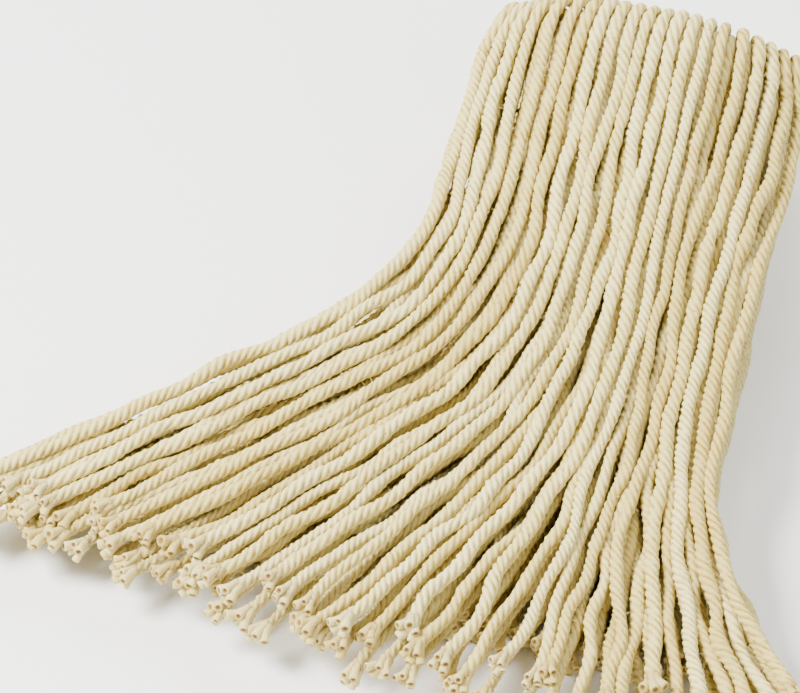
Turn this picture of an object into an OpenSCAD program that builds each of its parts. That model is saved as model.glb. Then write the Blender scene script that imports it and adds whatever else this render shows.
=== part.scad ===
// Cut-end cotton mop head, folded over at its sewn head tape and lying on its side on a flat surface.
// Strands of cotton yarn lie side by side in layers between two strips of tape. Below the tape they
// bend forward on to the surface as the lower fringe. Above it they arch over a crest, come down on
// the lower fringe and fan out as the upper fringe. X runs along the tape, the strands run towards -Y
// and +Z is up. The origin is at the bottom centre of the whole head.

/* [Yarn] */
// Diameter of one strand of yarn
yarn_d = 5.6; // [4.5:0.1:6.5]
// Clear space kept between neighbouring strands
yarn_gap = 0.4; // [0.3:0.05:1]
// Diameter of a strand where the tape squeezes it
pressed_d = 4.4; // [3.4:0.1:4.4]
// Strands side by side in one layer
columns = 21; // [12:1:24]
// Length of yarn from the top edge of the tape to the cut end of the upper fringe
upper_length = 378; // [340:1:480]
// Length of yarn from the bottom edge of the tape to the cut end of the lower fringe
lower_length = 327; // [300:1:450]
// How unevenly the ends are cut, to each side of the mean length
cut_spread = 6; // [0:1:20]

/* [Head tape] */
// Width of both strips of tape
tape_w = 25; // [24:1:32]
// Thickness of one strip of tape
tape_t = 1.2; // [0.8:0.1:2]
// How far the tape runs past the outermost strand at each end
tape_overhang = 3; // [1:0.5:8]
// Rows of stitching across the strands
stitch_rows = 3; // [2:1:4]
// Length of one stitch
stitch_l = 4; // [2.5:0.5:5]
// Width of the flattened sewing thread
thread_w = 1; // [0.6:0.1:1.4]
// Height that the thread stands off the tape
thread_t = 0.6; // [0.4:0.1:0.9]

/* [Folded shape] */
// Radius of the bend from the tape down to the surface, at the outermost strand
floor_bend = 24; // [23:1:34]
// Radius of the inside of the crest at the middle of the head
crest_mid = 16; // [12:1:26]
// Radius of the inside of the crest at the two flanks
crest_flank = 7; // [6:1:16]
// How far the flanks of the crest roll down past that
flank_roll = 11; // [0:1:16]
// Clear space between the upper fringe and the lower one where they meet
fringe_gap = 1.5; // [0.6:0.1:4]
// Where along the strands the slope off the crest begins to flatten
slope_start = 105; // [80:1:140]
// How much of the strand the flattening takes
slope_run = 150; // [100:1:200]

/* [Fan] */
// Heading of the strands at the tape, to the right of straight ahead, in degrees
start_heading = 3; // [-6:1:6]
// Spread of that heading from the middle to each flank, in degrees
start_spread = 2.5; // [2:1:8]
// Heading of the middle strands at their cut ends, in degrees
end_heading = -27; // [-40:1:0]
// Spread of that heading from the middle to each flank, in degrees
end_spread = 42; // [20:1:48]
// Extra turn to the right that both flanks take at the cut ends, in degrees
end_skew = 30; // [0:1:36]
// Where along the left flank the strands begin to turn
turn_start = 70; // [50:1:120]
// How much further along the right flank begins its turn
turn_lag = 132; // [60:1:200]
// How much of the strand the turn takes
turn_run = 155; // [120:1:220]

/* [Hidden] */
LAYERS = 4;
BLOCKS = 5;
SIDES = 6;
FINE = 10; // fine steps between two rings, for adding up a strand's path
TURN_UP = 5; // ring gaps round the crest
TURN_LOW = 3; // ring gaps round the bend to the surface
RING_REACH = 80; // most yarn between two rings past the bend or the crest
LOWER_SWEEP = 0.85; // the lower fringe's headings, as a share of the upper one's
LOWER_LEAD = 20; // how much sooner along the strand the lower fringe turns
SQUEEZE_RUN = 28; // yarn over which a strand swells back to its full size
ROLL_IN = 30; // yarn over which the flanks roll down
ROLL_OUT = 45; // where along the yarn the roll begins to fade
ROLL_RUN = 110; // yarn over which it fades
END_STEP = 0.4; // share of each layer's longer way round a bend that shows at the cut ends
PROBE = 0.01; // sideways step that finds the slope of a fringe

run_up = ceil(upper_length / RING_REACH); // ring gaps from the crest to the cut end
run_low = ceil(lower_length / RING_REACH); // ring gaps along the surface
pitch = yarn_d + yarn_gap;
pressed_pitch = pressed_d + yarn_gap / 2;
half_row = (columns + 0.5) * pitch / 2;
bend_gap = 0.2; // clear space where a strand leaves the tape for the lower fringe
split_gap = 0.5; // clear space at the hinge between the two halves of a strand
tape_bottom = yarn_d / 2 + floor_bend + bend_gap;
tape_top = tape_bottom + tape_w;
layer_pressed = sqrt(pow(pressed_pitch, 2) - pow(pitch / 2, 2));
stack_pressed = (LAYERS - 1) * layer_pressed;
tape_gap = 0.15;
inner_face = -pressed_d / 2 - tape_gap;
outer_face = stack_pressed + pressed_d / 2 + tape_gap;
hinge_y = outer_face + tape_t;
needle_bed = hinge_y - thread_t;
bobbin_bed = inner_face - tape_t;
crest_turn = 90 + 26; // turn from straight up to the slope off the crest

yarn_cream = [0.93, 0.88, 0.76];
yarn_shade = [0.84, 0.78, 0.62];

function smooth(t) = let (c = min(1, max(0, t))) c * c * (3 - 2 * c);
function mix(a, b, t) = a + (b - a) * t;
function flank(u) = pow(abs(u), 2.4);
function unit(v) = v / norm(v);

// Sideways place of a column, from -1 at the left flank to 1 at the right. Layers alternate by half a pitch.
function across(col, layer) =
    ((col + 0.5 + (layer % 2 == 0 ? -0.25 : 0.25)) * pitch - columns * pitch / 2) / half_row;

// Uneven cutting: a steady, scattered value from -1 to 1 for each strand.
function scatter(col, layer, seed) = sin(col * 137.5 + layer * 71.3 + seed * 211.7);

// Heading of a strand in plan, to the right of straight ahead. Past the place where the extra turn would
// bring the left flank's strands together, they keep the start's spread.
function heading(u, q) =
    let (
        early = start_heading + start_spread * u,
        v = end_skew > 0 ? max(u, -end_spread / (2 * end_skew)) : u,
        late = end_heading + end_spread * v + end_skew * v * v + start_spread * (u - v),
        turn = smooth((q - turn_start - turn_lag * (u + 1) / 2) / turn_run)
    ) mix(early, late, turn);

// Direction of travel for a slope above level and a heading in plan.
function travel(slope, turn) =
    [cos(slope) * sin(turn), -cos(slope) * cos(turn), sin(slope)];

// Yarn diameter and clear pitch at a distance from the tape.
function swell(q) = smooth(q / SQUEEZE_RUN);
function yarn_at(q) = mix(pressed_d, yarn_d, swell(q));
function clear_at(q) = mix(pressed_pitch, pitch, swell(q));

// Height of one layer over the next where the strands stand this far apart. Close strands ride on
// each other, and spread strands nest in the gaps of the layer below.
function layer_step(q, apart) =
    let (clear = clear_at(q), half = min(apart, 2 * clear) / 2)
    max(clear / 2, sqrt(max(0, clear * clear - half * half)));

// Height of the lowest place where the inside of the upper fringe may lie.
lower_stack = yarn_d + (LAYERS - 1) * layer_step(400, 1.35 * pitch);
landing = lower_stack + fringe_gap + yarn_d / 2;

// Upper fringe: the crest's radius, the length of yarn round it and the slope that lands the strand.
function crest_radius(u) = mix(crest_mid, crest_flank, flank(u));
function crest_run(u) = crest_radius(u) * 1.25 * crest_turn * PI / 180;
function upper_slope(u) =
    asin((tape_top + crest_radius(u) * 1.15 - landing) / (slope_start + slope_run / 2 - crest_radius(u)));
function upper_tilt(u, q) =
    let (down = upper_slope(u))
    90 - (90 + down) * smooth(q / crest_run(u)) + down * smooth((q - slope_start) / slope_run);

// How far a flank's strands roll down off the crest before the slope takes them up again.
function roll_down(u, q) =
    flank_roll * pow(max(0, 2 * abs(u) - 1), 1.5)
        * smooth(q / ROLL_IN) * (1 - smooth((q - ROLL_OUT) / ROLL_RUN));

// Distances along a strand at which its path is added up. Strands side by side share every ring but
// their last, so that none cuts a corner into its neighbour.
function stops(turn, turn_gaps, usual, run_gaps, last) =
    let (gap = (usual - turn) / run_gaps, before = usual - gap)
    concat(
        [for (i = [0 : turn_gaps * FINE - 1]) turn * i / (turn_gaps * FINE)],
        [for (i = [0 : (run_gaps - 1) * FINE - 1]) turn + gap * i / FINE],
        [for (i = [0 : FINE]) mix(before, last, i / FINE)]
    );
function upper_stops(u, last) = stops(crest_run(u), TURN_UP, upper_length, run_up, last);
function lower_stops(last) = stops(floor_bend * PI / 2, TURN_LOW, lower_length, run_low, last);

// A path is the running sum of its steps.
function walk(start, at, steps) =
    [for (i = 0, p = start; i < len(at); p = i < len(steps) ? p + steps[i] : p, i = i + 1) p];

function upper_path(u, at) =
    let (
        steps = [for (i = [1 : len(at) - 1])
            let (q = (at[i - 1] + at[i]) / 2)
            (at[i] - at[i - 1]) * travel(upper_tilt(u, q), heading(u, q))],
        path = walk([u * half_row, 0, tape_top + split_gap], at, steps),
        miss = landing - path[len(path) - 1].z
    ) [for (i = [0 : len(path) - 1])
        path[i] + [0, 0, miss * pow(at[i] / upper_length, 2) - roll_down(u, at[i])]];

function lower_path(u, at) =
    let (
        turn = floor_bend * PI / 2,
        steps = [for (i = [1 : len(at) - 1])
            let (q = (at[i - 1] + at[i]) / 2)
            (at[i] - at[i - 1])
                * travel(-90 * (1 - min(1, q / turn)), LOWER_SWEEP * heading(u, q + LOWER_LEAD))]
    ) walk([u * half_row, stack_pressed, tape_bottom - bend_gap], at, steps);

// Rings of one strand: [centre, direction of travel, radius, upward direction] at every tenth fine
// step. leaving is the direction in which it leaves the tape.
function rings(mid, left, right, at, layer, leaving) =
    [for (i = [0 : FINE : len(at) - 1])
        let (
            ahead = i == 0 ? leaving : unit(mid[min(i + 1, len(mid) - 1)] - mid[i - 1]),
            sideways = (right[i] - left[i]) / (2 * PROBE),
            up = unit(cross(ahead, sideways)),
            apart = norm(cross(ahead, sideways)) * pitch / half_row,
            lift = layer * layer_step(at[i], apart)
        ) [mid[i] + lift * up, ahead, yarn_at(at[i]) / 2, up]];

function upper_rings(col, layer) =
    let (
        u = across(col, layer),
        last = upper_length + cut_spread * scatter(col, layer, 1)
            - END_STEP * layer * layer_step(400, pitch) * crest_turn * PI / 180,
        at = upper_stops(u, last)
    ) rings(upper_path(u, at), upper_path(u - PROBE, at), upper_path(u + PROBE, at), at, layer, [0, 0, 1]);

function lower_rings(col, layer) =
    let (
        u = across(col, layer + 1),
        last = lower_length + cut_spread * scatter(col, layer, 2)
            + END_STEP * layer * layer_step(400, pitch) * PI / 2,
        at = lower_stops(last)
    ) rings(lower_path(u, at), lower_path(u - PROBE, at), lower_path(u + PROBE, at), at, layer, [0, 0, -1]);

// Corners of a tube through its rings. The tube's flats follow the fringe's own surface.
function corners(run) =
    [for (ring = run)
        let (up = unit(ring[3] - (ring[3] * ring[1]) * ring[1]), side = cross(ring[1], up))
        for (k = [0 : SIDES - 1]) ring[0] + ring[2] * (cos(k * 360 / SIDES) * side + sin(k * 360 / SIDES) * up)];
function tube_faces(count) =
    concat(
        [[for (k = [0 : SIDES - 1]) k]],
        [for (i = [0 : count - 2], k = [0 : SIDES - 1])
            let (n = (k + 1) % SIDES)
            each [[i * SIDES + k, (i + 1) * SIDES + k, i * SIDES + n],
                [i * SIDES + n, (i + 1) * SIDES + k, (i + 1) * SIDES + n]]],
        [[for (k = [SIDES - 1 : -1 : 0]) (count - 1) * SIDES + k]]
    );

upper_tubes = [for (layer = [0 : LAYERS - 1]) [for (col = [0 : columns - 1]) corners(upper_rings(col, layer))]];
lower_tubes = [for (layer = [0 : LAYERS - 1]) [for (col = [0 : columns - 1]) corners(lower_rings(col, layer))]];

// The whole head's box in plan, which sets the origin.
every_corner = [for (tubes = [upper_tubes, lower_tubes], layer = tubes, tube = layer) each tube];
low_x = min([for (p = every_corner) p.x]);
high_x = max([for (p = every_corner) p.x]);
low_y = min([for (p = every_corner) p.y]);
low_z = min([for (p = every_corner) p.z]);
high_y = max(hinge_y, max([for (p = every_corner) p.y]));
shift = [-(low_x + high_x) / 2, -(low_y + high_y) / 2, -low_z];

function block_from(block) = floor(block * columns / BLOCKS);
function yarn_name(fringe, layer, block) = str(fringe, "_yarns_layer", layer + 1, "_group", block + 1);
function bound_name(layer) = str("bound_yarns_layer", layer + 1);
function thread_name(kind, row) = str(kind, "_thread_row", row + 1);

// A row of stitches bedded in one face of the tape, one over every gap between columns.
module stitches(row, bed_y) {
    z = tape_bottom + tape_w * (row + 0.5) / stitch_rows - thread_w / 2;
    for (col = [0 : columns])
        translate([(col - columns / 2) * pitch - stitch_l / 2, bed_y, z])
        cube([stitch_l, thread_t, thread_w]);
}

module thread_row(row, bed_y) {
    color("white")
    translate(shift)
    stitches(row, bed_y);
}

// One strip of head tape, standing on edge behind or in front of the strands.
module tape(face_y, bed_y) {
    color("ivory")
    translate(shift)
    difference() {
        translate([-half_row - tape_overhang, face_y, tape_bottom])
        cube([2 * (half_row + tape_overhang), tape_t, tape_w]);
        for (row = [0 : stitch_rows - 1]) stitches(row, bed_y);
    }
}

// The straight stretch of every strand in one layer, squeezed between the tapes. The layers count from
// the outer tape inwards, as the lower fringe's do.
module bound_yarns(layer) {
    color(yarn_shade)
    translate(shift)
    for (col = [0 : columns - 1])
        translate([across(col, layer + 1) * half_row, stack_pressed - layer * layer_pressed, tape_bottom])
        cylinder(d = pressed_d, h = tape_w, $fn = 24);
}

// A group of neighbouring strands from one layer of a fringe, each strand a tube of its own.
module yarns(tubes, layer, block) {
    color(layer % 2 == 0 ? yarn_shade : yarn_cream)
    translate(shift)
    for (col = [block_from(block) : block_from(block + 1) - 1])
        polyhedron(tubes[layer][col], tube_faces(len(tubes[layer][col]) / SIDES), convexity = 6);
}

tape(outer_face, needle_bed);  // outer_tape
tape(inner_face - tape_t, bobbin_bed);  // inner_tape
for (row = [0 : stitch_rows - 1]) {
    thread_row(row, needle_bed);
    thread_row(row, bobbin_bed);
}
for (layer = [0 : LAYERS - 1]) {
    bound_yarns(layer);
}
for (layer = [0 : LAYERS - 1], block = [0 : BLOCKS - 1]) {
    yarns(lower_tubes, layer, block);
    yarns(upper_tubes, layer, block);
}
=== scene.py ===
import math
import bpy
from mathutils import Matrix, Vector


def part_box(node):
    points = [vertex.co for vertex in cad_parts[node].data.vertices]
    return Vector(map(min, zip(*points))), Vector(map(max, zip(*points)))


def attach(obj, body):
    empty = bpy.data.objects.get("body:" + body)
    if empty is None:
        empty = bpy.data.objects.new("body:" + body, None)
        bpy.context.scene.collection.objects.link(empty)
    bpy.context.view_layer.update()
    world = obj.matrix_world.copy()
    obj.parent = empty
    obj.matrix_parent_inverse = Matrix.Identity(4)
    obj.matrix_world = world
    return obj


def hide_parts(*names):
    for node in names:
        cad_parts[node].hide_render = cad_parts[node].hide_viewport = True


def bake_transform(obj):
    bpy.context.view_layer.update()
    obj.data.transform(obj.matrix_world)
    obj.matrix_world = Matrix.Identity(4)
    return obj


bl_info = {
    "name": "Cotton mop head",
    "version": (1, 0, 0),
    "blender": (4, 5, 0),
    "location": "3D View > Sidebar > Mop head",
    "description": "Builds a folded, cut-end cotton mop head round its packed model",
    "category": "Object",
}

import bpy
import numpy as np
from mathutils import Matrix

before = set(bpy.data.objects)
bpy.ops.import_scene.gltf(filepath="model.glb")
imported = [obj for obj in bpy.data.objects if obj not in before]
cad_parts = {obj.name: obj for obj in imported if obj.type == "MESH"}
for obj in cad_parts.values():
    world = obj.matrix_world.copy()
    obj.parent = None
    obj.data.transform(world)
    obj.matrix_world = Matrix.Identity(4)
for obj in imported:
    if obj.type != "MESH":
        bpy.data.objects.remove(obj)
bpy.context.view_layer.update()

# ---------------------------------------------------------------------------
# The head's own sizes, in millimetres and degrees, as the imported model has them.
# ---------------------------------------------------------------------------
MM = 0.001
YARN_D = 5.6
YARN_GAP = 0.4
PRESSED_D = 4.4
COLUMNS = 21
LAYERS = 4
BLOCKS = 5
UPPER_LENGTH = 378
LOWER_LENGTH = 327
CUT_SPREAD = 6
TAPE_W = 25
TAPE_T = 1.2
TAPE_OVERHANG = 3
STITCH_ROWS = 3
STITCH_L = 4
THREAD_W = 1
FLOOR_BEND = 24
CREST_MID = 16
CREST_FLANK = 7
FLANK_ROLL = 11
ROLL_IN = 30
ROLL_OUT = 45
ROLL_RUN = 110
FRINGE_GAP = 1.5
SLOPE_START = 105
SLOPE_RUN = 150
START_HEADING = 3
START_SPREAD = 2.5
END_HEADING = -27
END_SPREAD = 42
END_SKEW = 30
TURN_START = 70
TURN_LAG = 132
TURN_RUN = 155
SQUEEZE_RUN = 28
SPLIT_GAP = 0.5
END_STEP = 0.4
BEND_GAP = 0.2
CREST_TURN = 116
CREST_STRETCH = 1.25
CREST_RISE = 1.15
FLANK_POWER = 2.4
STAGGER = 0.25
LOWER_SWEEP = 0.85
LOWER_LEAD = 20
FANNED = 1.35
FAR_OFF = 400
PROBE = 0.01
TAPE_GAP = 0.15

PITCH = YARN_D + YARN_GAP
PRESSED_PITCH = PRESSED_D + YARN_GAP / 2
HALF_ROW = (COLUMNS + 0.5) * PITCH / 2
TAPE_BOTTOM = YARN_D / 2 + FLOOR_BEND + BEND_GAP
TAPE_TOP = TAPE_BOTTOM + TAPE_W
STACK_PRESSED = (LAYERS - 1) * math.sqrt(PRESSED_PITCH**2 - (PITCH / 2) ** 2)
INNER_FACE = -PRESSED_D / 2 - TAPE_GAP
OUTER_FACE = STACK_PRESSED + PRESSED_D / 2 + TAPE_GAP
HINGE_Y = OUTER_FACE + TAPE_T

# The tape's packed corner says where the head stands in the frame.
TAPE_CORNER = np.array(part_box("outer_tape")[0]) / MM
SHIFT = TAPE_CORNER - (-HALF_ROW - TAPE_OVERHANG, OUTER_FACE, TAPE_BOTTOM)

# How loose yarn strays from an even lay: waves as (shortest, longest, size), and where they fade in past the tape.
LONG_SWAY = (90, 260, 2.1)
SHORT_SWAY = (30, 80, 1.25)
LONG_LIFT = (60, 200, 1.6)
SHORT_LIFT = (25, 60, 0.7)
LOWER_LIFT = 0.5
FREE_FROM, FREE_RUN = 10, 70
ROOM, ROOM_GAIN, ROOM_MOST = 0.85, 0.2, 4
SAG, SAG_FROM, SAG_RUN = 3.2, 170, 150
LOWEST_LINE = 0.56 * YARN_D

# Rings' spacing and sides of each layer's tubes, finer where they show, and how much painted shade each layer
# takes, more the deeper it lies in the pile.
UPPER_DETAIL = ((2.0, 8), (2.0, 8), (1.1, 12), (0.8, 16))
LOWER_DETAIL = ((1.2, 12), (2.0, 8), (2.0, 8), (1.2, 12))
UPPER_SHADE = (0.9, 0.5, 0.2, 0.0)
LOWER_SHADE = 0.2
LOWER_END_SHADE = 0.5

# A cut ply from its root inside the strand to its hollowed tip: places along it, its girth, how far each ring dips
# back into the tip, and how much painted shade it takes, most in the hollow at its tip.
PLIES, PLY_SIDES = 5, 9
PLY_PLACE = np.array([0, 0.2, 0.4, 0.6, 0.8, 0.93, 1, 1, 1])
PLY_GIRTH = np.array([0.85, 0.92, 0.96, 1.0, 1.1, 1.14, 0.98, 0.62, 0.3])
PLY_DIP = np.array([0, 0, 0, 0, 0, 0, 0, 0.15, 1.0])
PLY_CORE_SHADE = np.array([0.45, 0.45, 0.42, 0.35, 0.28, 0.22, 0.35, 0.9, 1.9])
PLY_ROOT = 4
PLY_R = 0.53

# A stray fibre: a ribbon of three panels.
FIBRE_SHORTEST, FIBRE_LONGEST = 0.9, 3.2
FIBRE_HALF_W = 0.16 * np.array([0.5, 0.45, 0.35, 0.12])

# The tape's weave and the sewing thread.
WEAVE_W = 1.25
WEAVE_GRID = (440, 96)
WARP_H, WEFT_H = 0.13, 0.05
SELVEDGE_R = 0.7
STITCH_RINGS, STITCH_SIDES = 13, 8
STITCH_R = 0.36 * THREAD_W
STITCH_SINK, STITCH_RISE = 0.45, 0.62
STITCH_LAY = 1.8

# The picture's middle, from a point on the crest: left along the view and down across it.
CREST_POINT = (0, -20, 88)
MIDDLE_LEFT, MIDDLE_DOWN = 101.5, 134.0


# ---------------------------------------------------------------------------
# Where the strands lie
# ---------------------------------------------------------------------------
def smooth(t):
    """Eases from 0 to 1 as t goes from 0 to 1: three t squared less two t cubed."""
    t = np.clip(t, 0, 1)
    return t * t * (3 - 2 * t)


def unit(v):
    """Vectors scaled to length 1 along the last axis."""
    return v / np.linalg.norm(v, axis=-1, keepdims=True)


def layer_step(q, apart):
    """Height of a layer over the next: the third side of a triangle whose others are the clear pitch and half the
    spacing of the strands, and never under half the clear pitch."""
    clear = PRESSED_PITCH + (PITCH - PRESSED_PITCH) * smooth(q / SQUEEZE_RUN)
    half = np.minimum(apart, 2 * clear) / 2
    return np.maximum(clear / 2, np.sqrt(np.maximum(0, clear**2 - half**2)))


FULL_STEP = float(layer_step(FAR_OFF, PITCH))
LANDING = YARN_D * 1.5 + (LAYERS - 1) * float(layer_step(FAR_OFF, FANNED * PITCH)) + FRINGE_GAP


def heading(u, q):
    """Plan direction in degrees to the right of straight ahead: eased from the start's to the cut end's, which is a
    quadratic across the head down to its lowest point and then keeps the start's spread."""
    early = START_HEADING + START_SPREAD * u
    v = np.maximum(u, -END_SPREAD / (2 * END_SKEW))
    late = END_HEADING + END_SPREAD * v + END_SKEW * v * v + START_SPREAD * (u - v)
    return early + (late - early) * smooth((q - TURN_START - TURN_LAG * (u + 1) / 2) / TURN_RUN)


def crest_radius(u):
    """Radius of the crest's curve: from the middle's to the flank's by a power of the place across the head."""
    return CREST_MID + (CREST_FLANK - CREST_MID) * np.abs(u) ** FLANK_POWER


def upper_tilt(u, q):
    """Slope in degrees: from straight up, round the crest to the falling slope, then back to level."""
    radius = crest_radius(u)
    run = radius * CREST_STRETCH * math.radians(CREST_TURN)
    fall = TAPE_TOP + radius * CREST_RISE - LANDING
    down = np.degrees(np.arcsin(fall / (SLOPE_START + SLOPE_RUN / 2 - radius)))
    return 90 - (90 + down) * smooth(q / run) + down * smooth((q - SLOPE_START) / SLOPE_RUN)


def roll_down(u, q):
    """How far a flank's strands roll down off the crest: eased in with distance, then out again down the slope."""
    share = np.maximum(0, 2 * np.abs(u) - 1) ** 1.5
    return FLANK_ROLL * share * smooth(q / ROLL_IN) * (1 - smooth((q - ROLL_OUT) / ROLL_RUN))


def lower_tilt(u, q):
    """Slope in degrees: straight down past the tape, then a quarter turn to level."""
    return -90 * (1 - np.clip(q / (FLOOR_BEND * math.pi / 2), 0, 1)) + 0 * u


def middle_line(upper, u, q):
    """Each strand's path on its fringe's first layer: the running sum of its steps along slope and heading."""
    mid = (q[:, 1:] + q[:, :-1]) / 2
    slope = np.radians(upper_tilt(u, mid) if upper else lower_tilt(u, mid))
    turn = np.radians(heading(u, mid) if upper else LOWER_SWEEP * heading(u, mid + LOWER_LEAD))
    steps = np.stack([np.cos(slope) * np.sin(turn), -np.cos(slope) * np.cos(turn), np.sin(slope)], -1)
    steps *= np.diff(q)[..., None]
    path = np.concatenate([np.zeros((len(q), 1, 3)), np.cumsum(steps, 1)], 1)
    path[..., 0] += u * HALF_ROW
    path[..., 1] += 0 if upper else STACK_PRESSED
    path[..., 2] += TAPE_TOP + (SPLIT_GAP if upper else 0)
    if upper:
        path[..., 2] += (LANDING - path[:, -1:, 2]) * (q / UPPER_LENGTH) ** 2 - roll_down(u, q)
    return path


def scatter(col, layer, seed):
    """A steady, scattered value from -1 to 1 for each strand."""
    return np.sin(np.radians(col * 137.5 + layer * 71.3 + seed * 211.7))


def lay_strands(upper, cols, layer, step):
    """One layer's strands at every step: their centres, distances, upward vectors and spacing. A layer lies its own
    number of layer steps above the first one's path."""
    cols = np.asarray(cols, float)
    side_step = -STAGGER if (layer + (0 if upper else 1)) % 2 == 0 else STAGGER
    u = (((cols + 0.5 + side_step) * PITCH - COLUMNS * PITCH / 2) / HALF_ROW)[:, None]
    longer = END_STEP * layer * FULL_STEP
    if upper:
        last = UPPER_LENGTH + CUT_SPREAD * scatter(cols, layer, 1) - longer * math.radians(CREST_TURN)
        first = 0
    else:
        last = LOWER_LENGTH + CUT_SPREAD * scatter(cols, layer, 2) + longer * math.pi / 2
        first = -TAPE_W
    count = int((last.max() - first) / step) + 1
    q = first + (last[:, None] - first) * np.linspace(0, 1, count)
    mid = middle_line(upper, u, q)
    across = (middle_line(upper, u + PROBE, q) - middle_line(upper, u - PROBE, q)) / (2 * PROBE)
    ahead = unit(np.gradient(mid, axis=1))
    up = unit(np.cross(ahead, across))
    apart = np.linalg.norm(np.cross(ahead, across), axis=-1) * PITCH / HALF_ROW
    centre = mid + (layer * layer_step(q, apart))[..., None] * up
    return centre, q, up, apart


def waves(rng, q, shortest, longest, size=1.0):
    """The mean of four sines of mixed lengths and phases for each strand, times a size."""
    length = rng.uniform(shortest, longest, (4, len(q), 1))
    phase = rng.uniform(0, 2 * math.pi, (4, len(q), 1))
    return size * np.sin(2 * math.pi * q / length + phase).sum(0) / 4


def settle(rng, upper, centre, q, up, apart, waviness):
    """Strands moved off their even layout as loose yarn lies: sideways and up by waves that grow away from the tape,
    and down where the upper fringe sags. Gives centres and the vectors ahead, sideways and up."""
    ahead = unit(np.gradient(centre, axis=1))
    side = unit(np.cross(ahead, up))
    free = smooth((q - FREE_FROM) / FREE_RUN) * waviness
    room = ROOM + ROOM_GAIN * np.clip(apart - PITCH, 0, ROOM_MOST)
    sway = (waves(rng, q, *LONG_SWAY) + waves(rng, q, *SHORT_SWAY)) * room * free
    lift = (waves(rng, q, *LONG_LIFT) + waves(rng, q, *SHORT_LIFT)) * free * (1.0 if upper else LOWER_LIFT)
    centre = centre + sway[..., None] * side
    centre[..., 2] += lift
    if upper:
        centre[..., 2] -= SAG * smooth((q - SAG_FROM) / SAG_RUN)
    else:
        centre[..., 2] = np.maximum(centre[..., 2], LOWEST_LINE - SHIFT[2])
    ahead = unit(np.gradient(centre, axis=1))
    side = unit(np.cross(ahead, up))
    up = unit(np.cross(side, ahead))
    return centre, ahead, side, up


# ---------------------------------------------------------------------------
# Meshes
# ---------------------------------------------------------------------------
def add_piece(name, verts_mm, faces, material, body, uv=None, values=None):
    """One object from arrays, with its place in its mesh. verts_mm stand in the head's own layout, and values are
    attributes with a number for each corner."""
    mesh = bpy.data.meshes.new(name)
    mesh.from_pydata(((verts_mm + SHIFT) * MM).tolist(), [], faces)
    mesh.update()
    mesh.shade_smooth()
    for key, data in (values or {}).items():
        mesh.attributes.new(key, "FLOAT", "POINT").data.foreach_set("value", data.astype(np.float32))
    if uv is not None:
        mesh.uv_layers.new(name="Yarn").data.foreach_set("uv", uv.astype(np.float32).ravel())
    mesh.materials.append(material)
    piece = bpy.data.objects.new(name, mesh)
    bpy.context.collection.objects.link(piece)
    if body:
        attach(piece, body)
    return piece


def tube_grid(strands, rings, sides):
    """Quads of many tubes, each a grid of rings by sides that closes on itself, and the corners round both ends."""
    s, r, k = np.meshgrid(np.arange(strands), np.arange(rings - 1), np.arange(sides), indexing="ij")
    at = (s * rings + r) * sides
    nxt = (k + 1) % sides
    quads = np.stack([at + k, at + sides + k, at + sides + nxt, at + nxt], -1).reshape(-1, 4)
    first = np.arange(strands)[:, None] * rings * sides + np.arange(sides)
    last = first + (rings - 1) * sides
    return quads, first, last[:, ::-1]


def tubes(centre, side, up, radius, angle, sides, lobes=0, depth=0.0):
    """Corners of tubes with a ring at every centre: the radius times a rounded outline with that many lobes, turned
    by angle. depth is how deep the valleys between the lobes are, as a share of the radius."""
    around = np.arange(sides) * 2 * math.pi / sides
    outline = np.ones(sides)
    if lobes:
        outline = 1 - depth + depth * np.abs(np.cos(around * lobes / 2)) ** 0.8
    turned = angle[..., None] + around
    reach = (radius[..., None] * outline)[..., None]
    corner = np.cos(turned)[..., None] * side[..., None, :] + np.sin(turned)[..., None] * up[..., None, :]
    return centre[..., None, :] + reach * corner


def block_columns(block):
    """The columns that one group of strands holds."""
    return range(block * COLUMNS // BLOCKS, (block + 1) * COLUMNS // BLOCKS)


def node_name(upper, layer, block):
    """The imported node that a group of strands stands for."""
    return f"{'upper' if upper else 'lower'}_yarns_layer{layer + 1}_group{block + 1}"


def strand_sections(rng, upper, layer, yarn):
    """One layer of strands: their centres, vectors, radii and angles at every ring, and the corners of their
    four-lobed sections. The radius swells and thins by waves and opens near the cut end, and the section turns by 360
    degrees in each lay. Nothing dips under the floor."""
    step, sides = UPPER_DETAIL[layer] if upper else LOWER_DETAIL[layer]
    centre, q, up, apart = lay_strands(upper, range(COLUMNS), layer, step)
    centre, ahead, side, up = settle(rng, upper, centre, q, up, apart, yarn.waviness)
    thick = rng.uniform(0.88, 1.08, (COLUMNS, 1)) * (1 + waves(rng, q, 9, 50, 0.16))
    full = PRESSED_D + (YARN_D - PRESSED_D) * smooth(q / SQUEEZE_RUN)
    radius = full / 2 * thick * (1 + 0.16 * smooth(1 - (q[:, -1:] - q) / 9))
    lay = yarn.lay_mm * rng.uniform(0.85, 1.2, (COLUMNS, 1))
    angle = rng.uniform(0, 2 * math.pi, (COLUMNS, 1)) + 2 * math.pi * q / lay + waves(rng, q, 30, 90, 0.5)
    uneven = 1 + 0.05 * rng.normal(size=(COLUMNS, q.shape[1])) * smooth(q / SQUEEZE_RUN)
    corners = tubes(centre, side, up, radius * uneven, angle, sides, lobes=4, depth=yarn.groove)
    corners[..., 2] = np.maximum(corners[..., 2], -SHIFT[2])
    return centre, ahead, side, up, radius, angle, q, corners


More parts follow.
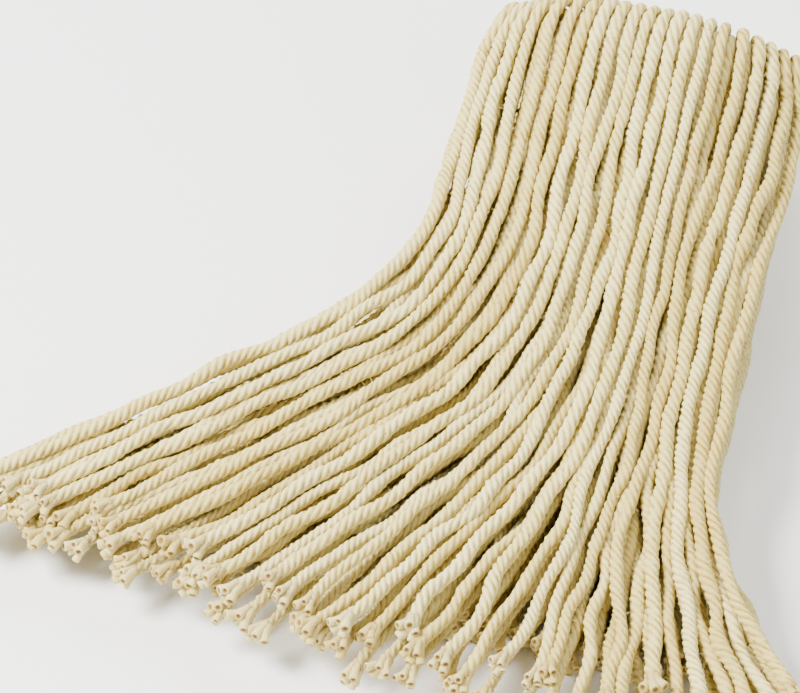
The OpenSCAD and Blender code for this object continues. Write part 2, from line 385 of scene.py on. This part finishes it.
def strand_piece(name, q, corners, tone, under_shade, body, material):
    """One object from some strands' corners. Its map goes round the section in u, from 0 to 1, and along the yarn in
    v, in tenths of a metre."""
    strands, rings, sides = corners.shape[:3]
    quads, first, last = tube_grid(strands, rings, sides)
    k = np.tile(np.arange(sides), strands * rings)
    turn = k[quads] / sides
    turn[:, 2:] = np.where(turn[:, 2:] < turn[:, :1], 1.0, turn[:, 2:])
    along = np.repeat(q.reshape(-1), sides)
    uv = np.stack([turn, along[quads] / 100], -1).reshape(-1, 2)
    caps = np.concatenate([first, last])
    near_cut = smooth(1 - (q[:, -1:] - q) / 7)
    values = {
        "tone": np.repeat(tone, rings * sides),
        # Painted shade over the last 7 mm before the cut.
        "core": np.repeat(near_cut.reshape(-1), sides),
        # Painted shade, more the deeper the layer lies in the pile.
        "deep": np.full(strands * rings * sides, under_shade),
    }
    return add_piece(name, corners.reshape(-1, 3), quads.tolist() + caps.tolist(), material, body,
                     uv=np.concatenate([uv, np.zeros((caps.size, 2))]), values=values)


def build_strands(upper, layer, yarn, materials):
    """Every strand of one layer, in groups, with its cut ends. The top layer's strands are pieces of their own."""
    rng = np.random.default_rng(100 + layer + (50 if upper else 0))
    centre, ahead, side, up, radius, angle, q, corners = strand_sections(rng, upper, layer, yarn)
    tone = rng.uniform(0, 1, COLUMNS)
    single = upper and layer == LAYERS - 1
    # Painted shade for the layers under the top one, more the deeper the layer lies.
    under_shade = UPPER_SHADE[layer] if upper else LOWER_SHADE
    for block in range(BLOCKS):
        name = node_name(upper, layer, block)
        every = np.array(block_columns(block))
        for cols in every[:, None] if single else [every]:
            piece = strand_piece(f"{name}_strand{cols[0] + 1}" if single else f"{name}_strands", q[cols],
                                 corners[cols], tone[cols], under_shade, None if upper else "head", materials["yarn"])
            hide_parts(name)
            if upper:
                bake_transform(piece)
            else:
                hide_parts(f"bound_yarns_layer{layer + 1}")
        ends = (x[every, -1] for x in (centre, ahead, side, up, radius, angle))
        build_cut_ends(name, rng, *ends, tone[every], upper, yarn, materials["ply"])
    return centre, side, up, radius


def build_cut_ends(name, rng, end, ahead, side, up, radius, angle, tone, upper, yarn, material):
    """The splayed plies at each cut end: short tubes that leave the strand round its middle and open outwards as the
    square of the distance, each with a blunt tip that dips in at its centre."""
    count, t = len(end), PLY_PLACE
    length = rng.uniform(0.6, 1.3, (count, PLIES, 1)) * yarn.splay_mm
    flare = rng.uniform(0.3, 1.15, (count, PLIES, 1))
    turn = angle[:, None, None] + np.arange(PLIES)[None, :, None] * 2 * math.pi / PLIES
    turn = turn + rng.uniform(-0.3, 0.3, (count, PLIES, 1)) + 0.6 * t
    out = radius[:, None, None] * (0.5 + flare * t**2)
    along = -PLY_ROOT + (length + PLY_ROOT) * t - 0.2 * flare * length * t**2
    ahead, side, up = (x[:, None, None, :] for x in (ahead, side, up))
    centre = end[:, None, None, :] + ahead * along[..., None]
    centre = centre + (np.cos(turn) * out)[..., None] * side + (np.sin(turn) * out)[..., None] * up
    centre[..., 2] -= rng.uniform(0, 1.2, (count, PLIES, 1)) * t**2
    ply_r = PLY_R * radius[:, None, None] * rng.uniform(0.85, 1.2, (count, PLIES, 1)) * PLY_GIRTH
    # The last three rings share one place, so they take their direction from the rings before.
    way = unit(centre[:, :, 5:6] - centre[:, :, 3:4]) + np.zeros(centre.shape)
    way[:, :, :6] = unit(np.gradient(centre[:, :, :7], axis=2)[:, :, :6])
    ply_side = unit(np.cross(way, up + 0 * way))
    ply_up = np.cross(ply_side, way)
    centre = centre - PLY_DIP[:, None] * way
    centre[..., 2] = np.maximum(centre[..., 2], ply_r * 1.02 - SHIFT[2])
    corners = tubes(centre, ply_side, ply_up, ply_r, 0 * ply_r, PLY_SIDES)
    corners[..., 2] = np.maximum(corners[..., 2], -SHIFT[2])
    quads, first, last = tube_grid(count * PLIES, len(t), PLY_SIDES)
    values = {
        "tone": np.repeat(tone, PLIES * len(t) * PLY_SIDES),
        # Painted shade along each ply, most in the hollow at its tip.
        "core": np.tile(np.repeat(PLY_CORE_SHADE, PLY_SIDES), count * PLIES),
        # Painted shade on the lower fringe's cut ends.
        "deep": np.full(corners.size // 3, 0.0 if upper else LOWER_END_SHADE),
    }
    add_piece(f"{name}_cut_plies", corners.reshape(-1, 3), quads.tolist() + first.tolist() + last.tolist(),
              material, "upper_fringe" if upper else "head", values=values)


def build_fuzz(name, rng, centre, side, up, radius, amount, body, material):
    """Stray fibres: thin ribbons of three short panels that leave the strand's surface along a curve, outwards less
    and less and off to a side more and more."""
    strands = rng.integers(0, len(centre), amount)
    spot = rng.integers(20, centre.shape[1] - 2, amount)
    theta = rng.uniform(0, 2 * math.pi, amount)
    out = np.cos(theta)[:, None] * side[strands, spot] + np.sin(theta)[:, None] * up[strands, spot]
    along = unit(rng.normal(size=(amount, 3)))
    length = rng.uniform(FIBRE_SHORTEST, FIBRE_LONGEST, amount)[:, None]
    base = centre[strands, spot] + out * radius[strands, spot][:, None] * 0.86
    t = np.linspace(0, 1, len(FIBRE_HALF_W))[None, :, None]
    line = base[:, None] + length[:, None] * (
        out[:, None] * t * (1.1 - 0.6 * t) * 0.55 + along[:, None] * t**1.3 * 0.6)
    across = unit(np.cross(line[:, -1] - line[:, 0], out + 0.01))[:, None] * FIBRE_HALF_W[None, :, None]
    verts = np.stack([line - across, line + across], 2).reshape(-1, 3)
    verts[:, 2] = np.maximum(verts[:, 2], 0.1 - SHIFT[2])
    at = np.arange(amount)[:, None] * 8 + np.array([0, 2, 4])[None, :]
    faces = np.stack([at, at + 1, at + 3, at + 2], -1).reshape(-1, 4)
    add_piece(name, verts, faces.tolist(), material, body,
              values={"tone": np.repeat(rng.uniform(0, 1, amount), 8)})


def build_tape(name, face_y, outward, material):
    """A woven strip: a grid raised by crossing warp and weft, the product of two cosines, so that each thread passes
    over and under the next, with a rolled selvedge along both long edges."""
    wide, tall = 2 * (HALF_ROW + TAPE_OVERHANG), TAPE_W
    nx, nz = WEAVE_GRID
    gx, gz = np.meshgrid(np.linspace(-wide / 2, wide / 2, nx + 1), np.linspace(0, tall, nz + 1), indexing="ij")
    warp = np.cos(math.pi * gz / WEAVE_W) * np.cos(math.pi * gx / WEAVE_W)
    ribs = WARP_H * warp + WEFT_H * np.cos(2 * math.pi * gz / WEAVE_W)
    edge = np.minimum(gz, tall - gz)
    body_t = TAPE_T * np.sqrt(np.clip(1 - (1 - np.minimum(edge / SELVEDGE_R, 1)) ** 2, 0.06, 1))
    front = body_t / 2 - 0.16 + ribs
    back = -(body_t / 2 - 0.02)
    mid_y = face_y + TAPE_T / 2
    verts = np.concatenate([
        np.stack([gx, mid_y + outward * face, TAPE_BOTTOM + gz], -1).reshape(-1, 3) for face in (front, back)])
    rows = nz + 1
    i, j = np.meshgrid(np.arange(nx), np.arange(nz), indexing="ij")
    a = (i * rows + j).ravel()
    quads = np.stack([a, a + rows, a + rows + 1, a + 1], -1)
    total = (nx + 1) * rows
    rim = np.concatenate([
        np.arange(nx + 1) * rows, nx * rows + np.arange(1, rows),
        np.arange(nx - 1, -1, -1) * rows + nz, np.arange(nz - 1, 0, -1)])
    nxt = np.roll(rim, -1)
    wall = np.stack([nxt, rim, rim + total, nxt + total], -1)
    faces = np.concatenate([quads, quads[:, ::-1] + total, wall])
    if outward > 0:
        faces = faces[:, ::-1]
    raised = np.tile((warp * 0.5 + 0.5).reshape(-1), 2)
    piece = add_piece(name, verts, faces.tolist(), material, "head", values={"raised": raised})
    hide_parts(name.replace("_webbing", ""))


def build_thread_row(kind, row, face_y, outward, material):
    """One row of stitches: each is a short two-ply thread that rises from one hole in the tape and sinks into the
    next, as high as the root of a sine."""
    stitches = COLUMNS + 1
    t = np.linspace(0, 1, STITCH_RINGS)
    radius = np.full((stitches, STITCH_RINGS), STITCH_R)
    centre = np.zeros((stitches, STITCH_RINGS, 3))
    centre[..., 0] = ((np.arange(stitches) - COLUMNS / 2) * PITCH)[:, None] - STITCH_L / 2 * np.cos(math.pi * t)
    centre[..., 1] = face_y + outward * (STITCH_RISE * np.sqrt(np.sin(math.pi * t)) - STITCH_SINK)
    centre[..., 2] = TAPE_BOTTOM + TAPE_W * (row + 0.5) / STITCH_ROWS
    way = unit(np.gradient(centre, axis=1))
    up = np.broadcast_to(np.array([0.0, 0.0, 1.0]), centre.shape)
    side = unit(np.cross(way, up))
    twist = np.broadcast_to(2 * math.pi * t * STITCH_L / STITCH_LAY, radius.shape)
    corners = tubes(centre, side, up, radius, twist, STITCH_SIDES, lobes=2, depth=0.22)
    quads, first, last = tube_grid(stitches, STITCH_RINGS, STITCH_SIDES)
    piece = add_piece(f"{kind}_thread_row{row + 1}_stitches", corners.reshape(-1, 3),
                      quads.tolist() + first.tolist() + last.tolist(), material, "head")
    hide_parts(f"{kind}_thread_row{row + 1}")


# ---------------------------------------------------------------------------
# Materials
# ---------------------------------------------------------------------------
# A Mix node's colour sockets, which share their names with its number ones.
MIX_A, MIX_B, MIX_OUT = 6, 7, 2

# Patterns, in millimetres: patches of warmer and paler yarn, patches where the painted shade in the grooves is
# weaker, fibres' width and length, their grain on cut plies, in yarn, in webbing and in thread, and the spacing of
# bits of seed husk.
TONE_PATCH = 35.7
GROOVE_SHADE_PATCH = 5.26
FIBRE_W, FIBRE_L = 0.423, 1.84
PLY_GRAIN = 0.526
YARN_GRAIN = 0.667
TAPE_GRAIN = 0.714
THREAD_GRAIN = 0.333
HUSK_SPACING = 7.69


def linear(hex_colour):
    """An sRGB hex colour as linear RGBA."""
    parts = np.array([int(hex_colour[i : i + 2], 16) for i in (1, 3, 5)]) / 255
    return (*np.where(parts <= 0.04045, parts / 12.92, ((parts + 0.055) / 1.055) ** 2.4).tolist(), 1.0)


def add_node(tree, kind, inputs=None, stops=(), **settings):
    """A node with its settings. inputs gives inputs, by name or number, a value or a socket to link. stops are a
    colour ramp's, each a place and a hex colour."""
    made = tree.nodes.new(kind)
    for key, value in settings.items():
        setattr(made, key, value)
    for key, value in (inputs or {}).items():
        if isinstance(value, bpy.types.NodeSocket):
            tree.links.new(value, made.inputs[key])
        else:
            made.inputs[key].default_value = value
    if stops:
        points = made.color_ramp.elements
        for _ in stops[2:]:
            points.new(0.5)
        for point, (place, colour) in zip(points, stops):
            point.position = place
            point.color = linear(colour)
    return made


def new_material(name, finish):
    """A material whose Principled shader has the values in finish: (material, tree, shader)."""
    material = bpy.data.materials.new(name)
    material.use_nodes = True
    shader = material.node_tree.nodes["Principled BSDF"]
    for key, value in finish.items():
        shader.inputs[key].default_value = value
    return material, material.node_tree, shader


def cotton_yarn_material(name, palette, follows_strand):
    """Raw cotton spun into mop yarn: fully matt, with a soft sheen from its loose fibres. Fine fibres run along the
    plies, the tone drifts from strand to strand, and bits of seed husk are left in it. Painted shade darkens the
    layers under the top one and the cut ends. Where it follows a strand, painted shade darkens the valleys between
    the plies, less in patches, and where it doesn't, it is a cut ply's."""
    _, tree, shader = new_material(name, {
        "Roughness": 0.95, "Specular IOR Level": 0.15,
        "Sheen Weight": 0.1, "Sheen Roughness": 0.6, "Sheen Tint": linear(palette.bright)})
    place = add_node(tree, "ShaderNodeTexCoord").outputs["Object"]
    tone = add_node(tree, "ShaderNodeAttribute", attribute_name="tone").outputs["Fac"]
    drift = add_node(tree, "ShaderNodeTexNoise", {"Vector": place, "Scale": 1 / (TONE_PATCH * MM), "Detail": 3.0})
    mixed = add_node(tree, "ShaderNodeMath", {0: tone, 1: drift.outputs["Fac"]}, operation="ADD")
    halved = add_node(tree, "ShaderNodeMath", {0: mixed.outputs[0], 1: 0.5}, operation="MULTIPLY")
    base = add_node(tree, "ShaderNodeValToRGB", {"Fac": halved.outputs[0]},
                    stops=[(0.2, palette.shade), (0.45, palette.cream), (0.75, palette.bright)])
    colour = base.outputs["Color"]
    # Painted shade: the layers under the top one, and the cut ends, are mixed towards darker tans.
    for attribute, shade_colour, most in (("deep", palette.under_shade, 0.55), ("core", palette.core, 0.8)):
        depth = add_node(tree, "ShaderNodeAttribute", attribute_name=attribute).outputs["Fac"]
        share = add_node(tree, "ShaderNodeMath", {0: depth, 1: most}, operation="MULTIPLY", use_clamp=True)
        colour = add_node(tree, "ShaderNodeMix", {"Factor": share.outputs[0], MIX_A: colour, MIX_B: linear(shade_colour)},
                          data_type="RGBA").outputs[MIX_OUT]
    if follows_strand:
        # Painted shade in the valley between two plies, which is where the cosine of four turns of the section's own
        # angle is least, weaker in patches.
        yarn_map = add_node(tree, "ShaderNodeUVMap", uv_map="Yarn").outputs["UV"]
        around = add_node(tree, "ShaderNodeSeparateXYZ", {"Vector": yarn_map})
        turned = add_node(tree, "ShaderNodeMath", {0: around.outputs["X"], 1: 8 * math.pi}, operation="MULTIPLY")
        ridge = add_node(tree, "ShaderNodeMath", {0: turned.outputs[0]}, operation="COSINE").outputs[0]
        valley = add_node(tree, "ShaderNodeMapRange", {"Value": ridge, "From Min": 0.0, "From Max": -1.0},
                          interpolation_type="SMOOTHSTEP")
        patchy = add_node(tree, "ShaderNodeTexNoise",
                          {"Vector": place, "Scale": 1 / (GROOVE_SHADE_PATCH * MM), "Detail": 2.0})
        # Patches where the painted shade in the grooves is weaker.
        groove_shade_strength = add_node(tree, "ShaderNodeMapRange",
                        {"Value": patchy.outputs["Fac"], "From Min": 0.35, "From Max": 0.65, "To Min": 0.2})
        share = add_node(tree, "ShaderNodeMath", {0: valley.outputs[0], 1: groove_shade_strength.outputs[0]}, operation="MULTIPLY")
        colour = add_node(tree, "ShaderNodeMix",
                          {"Factor": share.outputs[0], MIX_A: colour, MIX_B: linear(palette.groove)},
                          data_type="RGBA", blend_type="MULTIPLY").outputs[MIX_OUT]
        # Fibres along the yarn, drawn coarser than real ones so that they show.
        stretch = add_node(tree, "ShaderNodeMapping", {
            "Vector": yarn_map, "Scale": (math.pi * YARN_D / FIBRE_W, 100 / FIBRE_L, 1.0)})
        fibre = add_node(tree, "ShaderNodeTexNoise",
                         {"Vector": stretch.outputs[0], "Scale": 1.0, "Detail": 4.0, "Roughness": 0.62})
    else:
        fibre = add_node(tree, "ShaderNodeTexNoise",
                         {"Vector": place, "Scale": 1 / (PLY_GRAIN * MM), "Detail": 3.0})
    grain = add_node(tree, "ShaderNodeTexNoise", {"Vector": place, "Scale": 1 / (YARN_GRAIN * MM), "Detail": 3.0})
    streak = add_node(tree, "ShaderNodeValToRGB", {"Fac": fibre.outputs["Fac"]},
                      stops=[(0.25, "#cfc8b8"), (0.62, "#ffffff")])
    colour = add_node(tree, "ShaderNodeMix", {"Factor": 0.55, MIX_A: colour, MIX_B: streak.outputs["Color"]},
                      data_type="RGBA", blend_type="MULTIPLY").outputs[MIX_OUT]
    # Seed husks: dark flecks some 0.7 mm across, where a husk in the cotton comes to the surface.
    husk = add_node(tree, "ShaderNodeTexVoronoi", {"Vector": place, "Scale": 1 / (HUSK_SPACING * MM)})
    spot = add_node(tree, "ShaderNodeValToRGB", {"Fac": husk.outputs["Distance"]},
                    stops=[(0.03, "#ffffff"), (0.06, "#000000")])
    flecked = add_node(tree, "ShaderNodeMix",
                       {"Factor": spot.outputs["Color"], MIX_A: colour, MIX_B: linear(palette.husk)},
                       data_type="RGBA")
    tree.links.new(flecked.outputs[MIX_OUT], shader.inputs["Base Color"])
    relief = add_node(tree, "ShaderNodeMath", {0: fibre.outputs["Fac"], 1: grain.outputs["Fac"]}, operation="ADD")
    bump = add_node(tree, "ShaderNodeBump", {"Height": relief.outputs[0], "Strength": 0.6, "Distance": 0.5 * MM})
    if follows_strand:
        bump = add_node(tree, "ShaderNodeBump", {
            "Height": ridge, "Normal": bump.outputs["Normal"], "Strength": 0.42, "Distance": 0.35 * MM})
    tree.links.new(bump.outputs["Normal"], shader.inputs["Normal"])


def webbing_material(palette):
    """Natural cotton webbing: matt, as cream as the yarn, with painted shade between its threads, and with their
    fibres as a fine grain. The weave is drawn coarser than real ones so that it shows."""
    _, tree, shader = new_material("Woven cotton head tape", {"Roughness": 0.9, "Sheen Weight": 0.15})
    place = add_node(tree, "ShaderNodeTexCoord").outputs["Object"]
    grain = add_node(tree, "ShaderNodeTexNoise", {"Vector": place, "Scale": 1 / (TAPE_GRAIN * MM), "Detail": 3.0})
    raised = add_node(tree, "ShaderNodeAttribute", attribute_name="raised")
    mixed = add_node(tree, "ShaderNodeMath", {0: raised.outputs["Fac"], 1: grain.outputs["Fac"]},
                     operation="MULTIPLY")
    # Painted shade where the weave lies low, mixed with the fibres' grain.
    shade = add_node(tree, "ShaderNodeValToRGB", {"Fac": mixed.outputs[0]},
                     stops=[(0.05, "#a8946a"), (0.4, palette.tape)])
    tree.links.new(shade.outputs["Color"], shader.inputs["Base Color"])
    bump = add_node(tree, "ShaderNodeBump", {"Height": grain.outputs["Fac"], "Strength": 0.4, "Distance": 0.3 * MM})
    tree.links.new(bump.outputs["Normal"], shader.inputs["Normal"])


def thread_material(palette):
    """Twisted polyester sewing thread: smoother than cotton, so it keeps a soft shine."""
    _, tree, shader = new_material("Twisted polyester sewing thread", {"Roughness": 0.55})
    place = add_node(tree, "ShaderNodeTexCoord").outputs["Object"]
    grain = add_node(tree, "ShaderNodeTexNoise", {"Vector": place, "Scale": 1 / (THREAD_GRAIN * MM), "Detail": 2.0})
    shade = add_node(tree, "ShaderNodeValToRGB", {"Fac": grain.outputs["Fac"]},
                     stops=[(0.3, "#d9d5c8"), (0.6, palette.thread)])
    tree.links.new(shade.outputs["Color"], shader.inputs["Base Color"])
    bump = add_node(tree, "ShaderNodeBump", {"Height": grain.outputs["Fac"], "Strength": 0.25, "Distance": 0.1 * MM})
    tree.links.new(bump.outputs["Normal"], shader.inputs["Normal"])


def lint_material(palette):
    """Loose cotton fibres: matt, each between the yarn's usual colour and its palest."""
    _, tree, shader = new_material("Loose cotton fibre", {"Roughness": 0.9})
    tone = add_node(tree, "ShaderNodeAttribute", attribute_name="tone")
    shade = add_node(tree, "ShaderNodeValToRGB", {"Fac": tone.outputs["Fac"]},
                     stops=[(0.0, palette.cream), (1.0, palette.bright)])
    tree.links.new(shade.outputs["Color"], shader.inputs["Base Color"])


# ---------------------------------------------------------------------------
# Settings
# ---------------------------------------------------------------------------
class MOP_PG_yarn(bpy.types.PropertyGroup):
    """How the yarn is spun, laid and cut"""

    lay_mm: bpy.props.FloatProperty(
        name="Lay", description="Yarn over which the plies make one turn, in millimetres",
        default=16.5, min=8.0, max=30.0)
    groove: bpy.props.FloatProperty(
        name="Groove", description="Depth of the grooves between plies, as a share of the yarn's radius",
        default=0.165, min=0.05, max=0.5, subtype="FACTOR")
    waviness: bpy.props.FloatProperty(
        name="Waviness", description="How far the strands wander from an even lay",
        default=1.0, min=0.0, max=1.5, subtype="FACTOR")
    splay_mm: bpy.props.FloatProperty(
        name="Splay", description="Length of the opened plies at a cut end, in millimetres",
        default=4.8, min=3.0, max=12.0)
    fibres: bpy.props.IntProperty(
        name="Stray fibres", description="Stray fibres on each shown layer", default=6500, min=0, max=30000)


class MOP_PG_colours(bpy.types.PropertyGroup):
    """The colours, in sRGB hex"""

    cream: bpy.props.StringProperty(name="Cream", description="The yarn's usual colour", default="#ead98b")
    bright: bpy.props.StringProperty(name="Bright", description="The palest strands", default="#f7ebaa")
    shade: bpy.props.StringProperty(name="Shade", description="The yellowest strands", default="#dbc676")
    # Painted shade for the layers under the top one.
    under_shade: bpy.props.StringProperty(name="Buried", description="Strands under the top layer", default="#ab954e")
    # Painted shade at the cut ends, most in each tip's hollow.
    core: bpy.props.StringProperty(name="Cut core", description="The middle of a cut end", default="#96743a")
    # Painted shade in the valleys between plies.
    groove: bpy.props.StringProperty(
        name="Groove", description="Tint of the valleys between plies", default="#c9b77a")
    husk: bpy.props.StringProperty(name="Seed husk", description="Flecks of seed husk", default="#6e5a36")
    tape: bpy.props.StringProperty(name="Tape", description="The head tape", default="#e2d3a6")
    thread: bpy.props.StringProperty(name="Thread", description="The sewing thread", default="#fdfbf4")


class MOP_PG_studio(bpy.types.PropertyGroup):
    """The camera's place and the lights' power"""

    azimuth: bpy.props.FloatProperty(
        name="Azimuth", description="Camera's turn round the head", default=math.radians(16), subtype="ANGLE")
    elevation: bpy.props.FloatProperty(
        name="Elevation", description="Camera's height above level", default=math.radians(42), subtype="ANGLE")
    distance: bpy.props.FloatProperty(
        name="Distance", description="Camera's distance", default=2.5, unit="LENGTH")
    width: bpy.props.FloatProperty(
        name="Width", description="Width that the picture takes in", default=0.3404, unit="LENGTH")
    key: bpy.props.FloatProperty(
        name="Key light", description="Power of the key light, in watts", default=103.0, min=0.0)
    sky: bpy.props.FloatProperty(
        name="Sky", description="Strength of the white surroundings", default=0.26, min=0.0)


# ---------------------------------------------------------------------------
# Operators
# ---------------------------------------------------------------------------
def finishes(scene):
    """The materials, made once and then shared."""
    found = bpy.data.materials
    if "Natural four-ply cotton mop yarn" not in found:
        cotton_yarn_material("Natural four-ply cotton mop yarn", scene.mop_colours, True)
        cotton_yarn_material("Opened cotton ply", scene.mop_colours, False)
        webbing_material(scene.mop_colours)
        thread_material(scene.mop_colours)
        lint_material(scene.mop_colours)
    return {
        "yarn": found["Natural four-ply cotton mop yarn"],
        "ply": found["Opened cotton ply"],
        "tape": found["Woven cotton head tape"],
        "thread": found["Twisted polyester sewing thread"],
        "lint": found["Loose cotton fibre"],
    }


class MOP_OT_stage(bpy.types.Operator):
    """Adds the camera, the soft lights and a pale floor"""

    bl_idname = "mop.stage"
    bl_label = "Studio"

    def execute(self, context):
        studio = context.scene.mop_studio
        az, el = studio.azimuth, studio.elevation
        right = np.array([math.cos(az), math.sin(az), 0])
        away = np.array([-math.sin(az) * math.cos(el), math.cos(az) * math.cos(el), -math.sin(el)])
        up = np.cross(right, away)
        middle = (SHIFT + CREST_POINT - MIDDLE_LEFT * right - MIDDLE_DOWN * up) * MM
        data = bpy.data.cameras.new("Camera")
        data.sensor_width = 36
        data.lens = 36 * studio.distance / studio.width
        data.clip_end = 20
        camera = bpy.data.objects.new("Camera", data)
        pose = np.eye(4)
        pose[:3] = np.stack([right, up, -away, middle - away * studio.distance], 1)
        camera.matrix_world = Matrix(pose.tolist())
        context.collection.objects.link(camera)
        context.scene.camera = camera
        for name, place, size, power, colour in (
            ("Key", (-0.9, -0.5, 1.3), 0.7, studio.key, (1.0, 0.98, 0.95)),
            ("Fill", (1.2, -1.0, 0.9), 1.4, studio.key * 0.2, (0.97, 0.98, 1.0)),
            ("Back", (0.2, 1.2, 1.2), 1.0, studio.key * 0.35, (1.0, 1.0, 1.0)),
        ):
            light = bpy.data.lights.new(name, "AREA")
            light.energy, light.size, light.color = power, size, colour
            lamp = bpy.data.objects.new(name, light)
            lamp.location = place
            direction = -np.array(place)
            lamp.rotation_euler = (
                math.atan2(math.hypot(direction[0], direction[1]), -direction[2]), 0,
                math.atan2(direction[1], direction[0]) - math.pi / 2)
            context.collection.objects.link(lamp)
        world = bpy.data.worlds.new("Studio")
        world.use_nodes = True
        sky = world.node_tree.nodes["Background"]
        sky.inputs["Color"].default_value = (1, 1, 1, 1)
        sky.inputs["Strength"].default_value = studio.sky
        context.scene.world = world
        mesh = bpy.data.meshes.new("Floor")
        mesh.from_pydata([(-4, -4, 0), (4, -4, 0), (4, 4, 0), (-4, 4, 0)], [], [(0, 1, 2, 3)])
        floor = bpy.data.objects.new("Floor", mesh)
        material, _, _ = new_material("Pale matt floor", {"Base Color": linear("#fbfbfa"), "Roughness": 0.9})
        mesh.materials.append(material)
        context.collection.objects.link(floor)
        return {"FINISHED"}


class MOP_OT_lower_fringe(bpy.types.Operator):
    """Lays the lower fringe's strands on the floor and opens their cut ends"""

    bl_idname = "mop.lower_fringe"
    bl_label = "Lower fringe"

    def execute(self, context):
        materials, yarn = finishes(context.scene), context.scene.mop_yarn
        for layer in range(LAYERS):
            laid = build_strands(False, layer, yarn, materials)
        rng = np.random.default_rng(7)
        build_fuzz("lower_stray_fibres", rng, *laid, yarn.fibres, "head", materials["lint"])
        return {"FINISHED"}


class MOP_OT_upper_fringe(bpy.types.Operator):
    """Arches the upper fringe's strands over the crest and opens their cut ends"""

    bl_idname = "mop.upper_fringe"
    bl_label = "Upper fringe"

    def execute(self, context):
        materials, yarn = finishes(context.scene), context.scene.mop_yarn
        for layer in range(LAYERS):
            laid = build_strands(True, layer, yarn, materials)
        rng = np.random.default_rng(8)
        build_fuzz("upper_stray_fibres", rng, *laid, yarn.fibres, "upper_fringe", materials["lint"])
        return {"FINISHED"}


class MOP_OT_tapes(bpy.types.Operator):
    """Weaves the two strips of head tape"""

    bl_idname = "mop.tapes"
    bl_label = "Head tapes"

    def execute(self, context):
        materials = finishes(context.scene)
        build_tape("outer_tape_webbing", OUTER_FACE, 1, materials["tape"])
        build_tape("inner_tape_webbing", INNER_FACE - TAPE_T, -1, materials["tape"])
        return {"FINISHED"}


class MOP_OT_stitching(bpy.types.Operator):
    """Sews the rows of stitches through the tape"""

    bl_idname = "mop.stitching"
    bl_label = "Stitching"

    def execute(self, context):
        materials = finishes(context.scene)
        for row in range(STITCH_ROWS):
            build_thread_row("needle", row, HINGE_Y, 1, materials["thread"])
            build_thread_row("bobbin", row, INNER_FACE - TAPE_T, -1, materials["thread"])
        return {"FINISHED"}


class MOP_PT_panel(bpy.types.Panel):
    """Lists the sizes, the colours and the pieces"""

    bl_label = "Mop head"
    bl_idname = "MOP_PT_panel"
    bl_space_type = "VIEW_3D"
    bl_region_type = "UI"
    bl_category = "Mop head"

    def draw(self, context):
        for group in (context.scene.mop_yarn, context.scene.mop_colours, context.scene.mop_studio):
            for name in group.__annotations__:
                self.layout.prop(group, name)
        for step in STEPS:
            self.layout.operator(step.bl_idname)


STEPS = (MOP_OT_stage, MOP_OT_lower_fringe, MOP_OT_upper_fringe, MOP_OT_tapes, MOP_OT_stitching)
CLASSES = (MOP_PG_yarn, MOP_PG_colours, MOP_PG_studio, *STEPS, MOP_PT_panel)


def register():
    for cls in CLASSES:
        bpy.utils.register_class(cls)
    bpy.types.Scene.mop_yarn = bpy.props.PointerProperty(type=MOP_PG_yarn)
    bpy.types.Scene.mop_colours = bpy.props.PointerProperty(type=MOP_PG_colours)
    bpy.types.Scene.mop_studio = bpy.props.PointerProperty(type=MOP_PG_studio)


def unregister():
    for name in ("mop_yarn", "mop_colours", "mop_studio"):
        delattr(bpy.types.Scene, name)
    for cls in reversed(CLASSES):
        bpy.utils.unregister_class(cls)


def main():
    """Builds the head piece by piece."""
    register()
    for step in STEPS:
        area, action = step.bl_idname.split(".")
        getattr(getattr(bpy.ops, area), action)()


if __name__ == "__main__":
    main()
